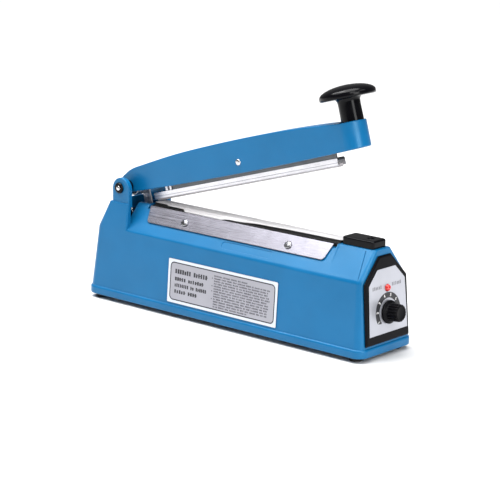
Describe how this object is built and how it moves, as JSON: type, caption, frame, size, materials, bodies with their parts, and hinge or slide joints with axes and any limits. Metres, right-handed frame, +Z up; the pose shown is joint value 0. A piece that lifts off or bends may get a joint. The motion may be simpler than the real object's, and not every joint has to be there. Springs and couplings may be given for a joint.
{
  "type": "impulse heat sealer",
  "caption": "Hand-pressed impulse heat sealer: long leaning base with a heated, cloth-covered bed, a sprung hinged arm with a mushroom knob and rocking pressure bar, and an end timer dial.",
  "frame": {"origin": "on the surface it stands on, under the middle of the whole object's box", "axes": "+X along the base towards the timer dial and the arm's free end, +Y across it away from the rating label, +Z up"},
  "size_m": [0.3338, 0.072, 0.2236],
  "materials": {
    "blue_plastic": "satin moulded ABS, mid blue",
    "black_plastic": "glossy moulded black plastic",
    "black_rubber": "matt black rubber",
    "bakelite": "matt black phenolic board",
    "steel": "bright zinc-plated steel",
    "dark_steel": "dull grey steel sheet",
    "aluminium": "satin rolled aluminium",
    "brass": "bright brass",
    "nichrome": "heat-dulled resistance ribbon",
    "ptfe_cloth": "PTFE-coated glass cloth, faint weave, slight sheen",
    "silicone": "matt grey silicone rubber",
    "foil_label": "matt silver printed film",
    "red_lens": "clear red moulded lamp lens",
    "circuit_board": "green solder-masked board",
    "coil_tape": "yellow winding tape",
    "relay_plastic": "blue moulded relay case"
  },
  "bodies": {
    "base": {"base_housing": "blue_plastic", "control_panel": "black_plastic", "terminal_cover": "black_plastic", "hinge_cap_left": "black_plastic", "hinge_cap_right": "black_plastic", "hinge_bush_left": "black_plastic", "hinge_bush_right": "black_plastic", "microswitch": "black_plastic", "timer_capacitor": "black_plastic", "cord_grommet": "black_rubber", "foot_front_left": "black_rubber", "foot_front_right": "black_rubber", "foot_rear_left": "black_rubber", "foot_rear_right": "black_rubber", "bed_insulator": "bakelite", "bottom_plate": "steel", "hinge_pin": "steel", "return_spring": "steel", "transformer_bracket": "steel", "terminal_cover_screw": "steel", "transformer_core": "dark_steel", "timer_potentiometer": "dark_steel", "cover_plate_left": "aluminium", "cover_plate_right": "aluminium", "element_terminal_front": "brass", "element_terminal_rear": "brass", "heating_element": "nichrome", "ptfe_cloth": "ptfe_cloth", "rating_label": "foil_label", "dial_label": "foil_label", "indicator_lamp": "red_lens", "timer_board": "circuit_board", "transformer_coil": "coil_tape", "timer_relay": "relay_plastic", "cover_screw_left_rear": "steel", "foot_screw_rear_left": "steel", "cover_screw_left_front": "steel", "foot_screw_front_left": "steel", "cover_screw_right_rear": "steel", "foot_screw_rear_right": "steel", "cover_screw_right_front": "steel", "foot_screw_front_right": "steel"},
    "arm": {"arm_shell": "blue_plastic", "press_knob": "black_plastic", "knob_screw": "steel", "bar_pivot_pin": "steel", "switch_tongue": "dark_steel", "tongue_screw": "steel"},
    "pressure_bar": {"bar_channel": "dark_steel", "bar_profile": "aluminium", "silicone_strip": "silicone", "bar_guide_clip": "aluminium", "bar_rivet_rear": "steel", "bar_rivet_front": "steel"},
    "dial": {"dial_knob": "black_plastic", "timer_shaft": "aluminium"},
    "switch_lever": {"switch_lever": "steel"}
  },
  "joints": [
    {"name": "arm_hinge", "type": "hinge", "parent": "base", "child": "arm", "pos_m": [-0.13199, 0, 0.1045], "axis": [0, 1, 0], "range_deg": [0, 13.4], "stiffness_Nm_per_rad": 0.9, "springref_deg": -34.38, "deforming": ["return_spring"]},
    {"name": "bar_rock", "type": "hinge", "parent": "arm", "child": "pressure_bar", "pos_m": [-0.00134, 0, 0.14408], "axis": [0, 1, 0], "range_deg": [0, 2.7]},
    {"name": "dial_turn", "type": "hinge", "parent": "base", "child": "dial", "pos_m": [0.14999, 0, 0.03822], "axis": [0.9971, 0, 0.0756], "range_deg": [-175, 105]},
    {"name": "lever_press", "type": "hinge", "parent": "base", "child": "switch_lever", "pos_m": [-0.14349, 0, 0.0785], "axis": [0, 1, 0], "range_deg": [0, 4]}
  ],
  "couplings": [
    {"joint": "bar_rock", "follows": "arm_hinge", "ratio": 0.1985},
    {"joint": "lever_press", "follows": "arm_hinge", "ratio": 0.291}
  ]
}
